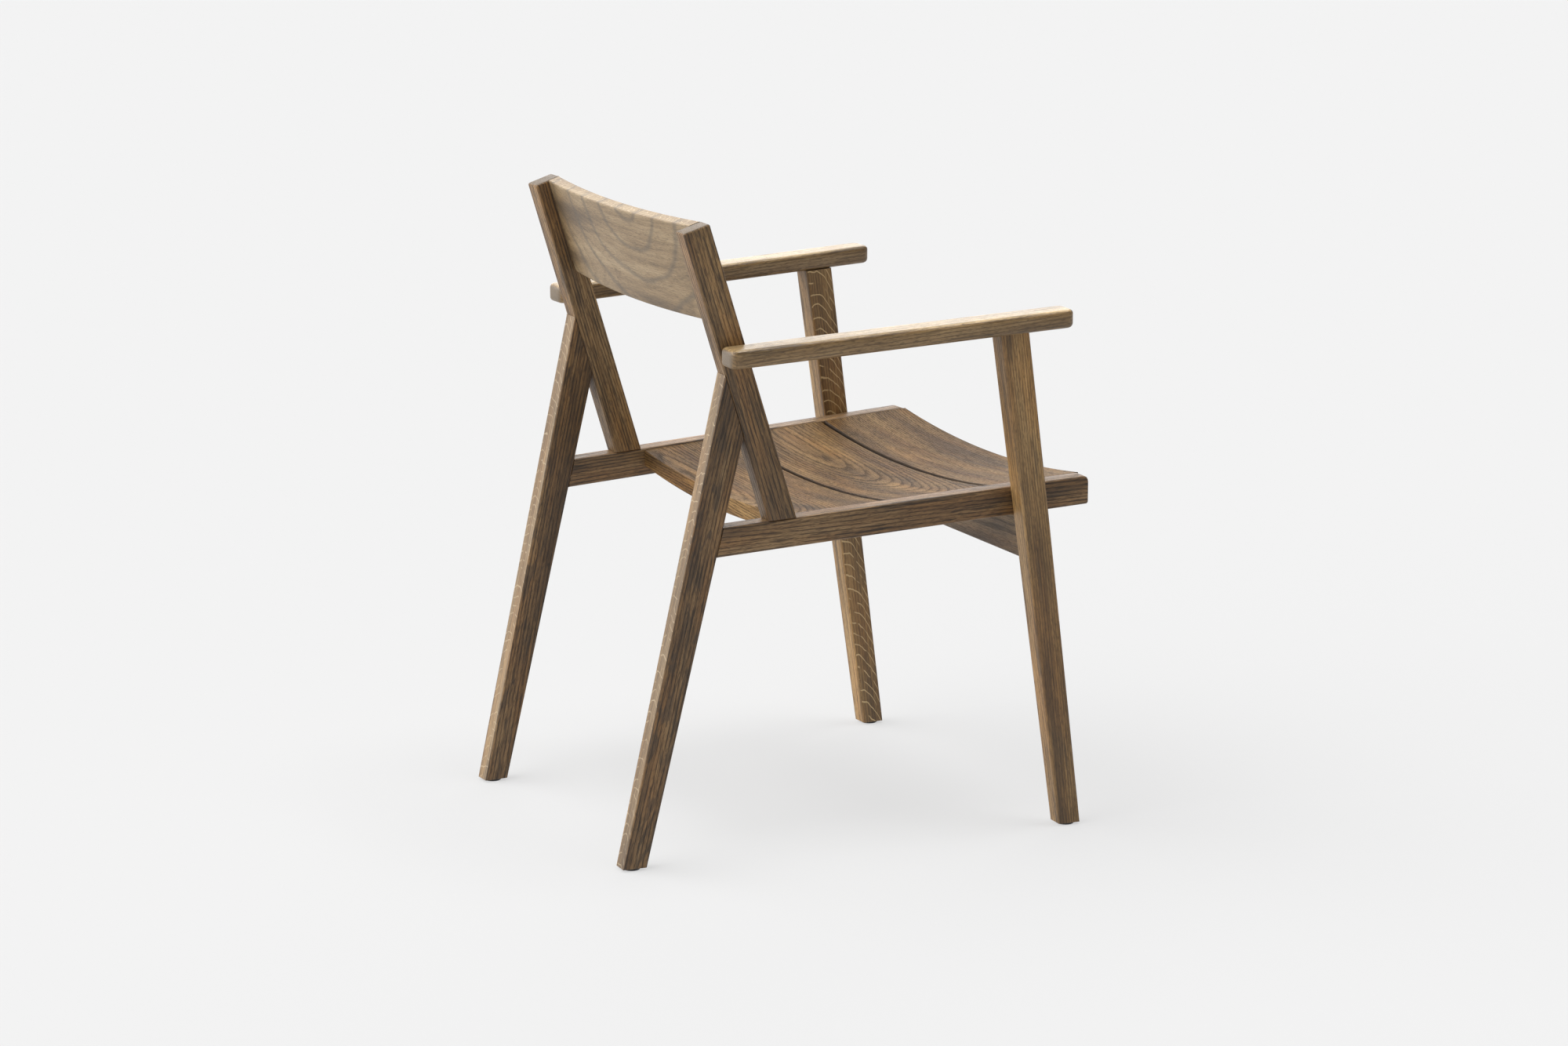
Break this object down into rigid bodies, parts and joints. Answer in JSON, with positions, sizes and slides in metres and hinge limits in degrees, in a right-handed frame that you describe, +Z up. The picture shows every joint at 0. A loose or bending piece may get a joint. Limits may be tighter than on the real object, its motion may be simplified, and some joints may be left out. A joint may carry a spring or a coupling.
{
  "type": "wooden armchair",
  "caption": "Wooden dining armchair with A-shaped side frames, a bowed backrest panel, a dished seat of boards and flat armrests on the front legs.",
  "frame": {"origin": "on the floor at the centre of the bounding box, on the chair's centre line", "axes": "+Z up, the chair faces -Y, +X to the left of a person sitting in it"},
  "size_m": [0.6076, 0.6306, 0.7932],
  "materials": {
    "oak": "satin oiled fumed oak, olive grey brown with open pores",
    "joinery": "plain sawn beech",
    "glide": "matt black"
  },
  "bodies": {
    "root": {"arm_dowel_left_1": "joinery", "arm_dowel_left_2": "joinery", "arm_dowel_right_1": "joinery", "arm_dowel_right_2": "joinery", "arm_tenon_left": "joinery", "arm_tenon_right": "joinery", "armrest_left": "oak", "armrest_right": "oak", "back_post_left": "oak", "back_post_right": "oak", "backrest_dowel_left_1": "joinery", "backrest_dowel_left_2": "joinery", "backrest_dowel_left_3": "joinery", "backrest_dowel_right_1": "joinery", "backrest_dowel_right_2": "joinery", "backrest_dowel_right_3": "joinery", "backrest_panel": "oak", "cross_rail_tenon_left": "joinery", "cross_rail_tenon_right": "joinery", "front_cross_rail": "oak", "front_leg_dowel_left_1": "joinery", "front_leg_dowel_left_2": "joinery", "front_leg_dowel_right_1": "joinery", "front_leg_dowel_right_2": "joinery", "front_leg_left": "oak", "front_leg_right": "oak", "glide_front_left": "glide", "glide_front_right": "glide", "glide_rear_left": "glide", "glide_rear_right": "glide", "post_tenon_left": "joinery", "post_tenon_right": "joinery", "rail_tenon_left": "joinery", "rail_tenon_right": "joinery", "rear_leg_dowel_left_1": "joinery", "rear_leg_dowel_left_2": "joinery", "rear_leg_dowel_right_1": "joinery", "rear_leg_dowel_right_2": "joinery", "rear_leg_left": "oak", "rear_leg_right": "oak", "seat_board_front": "oak", "seat_board_front_dowel_left_1": "joinery", "seat_board_front_dowel_left_2": "joinery", "seat_board_front_dowel_right_1": "joinery", "seat_board_front_dowel_right_2": "joinery", "seat_board_middle": "oak", "seat_board_middle_dowel_left_1": "joinery", "seat_board_middle_dowel_left_2": "joinery", "seat_board_middle_dowel_right_1": "joinery", "seat_board_middle_dowel_right_2": "joinery", "seat_board_rear": "oak", "seat_board_rear_dowel_left_1": "joinery", "seat_board_rear_dowel_left_2": "joinery", "seat_board_rear_dowel_right_1": "joinery", "seat_board_rear_dowel_right_2": "joinery", "side_rail_left": "oak", "side_rail_right": "oak"}
  },
  "joints": []
}
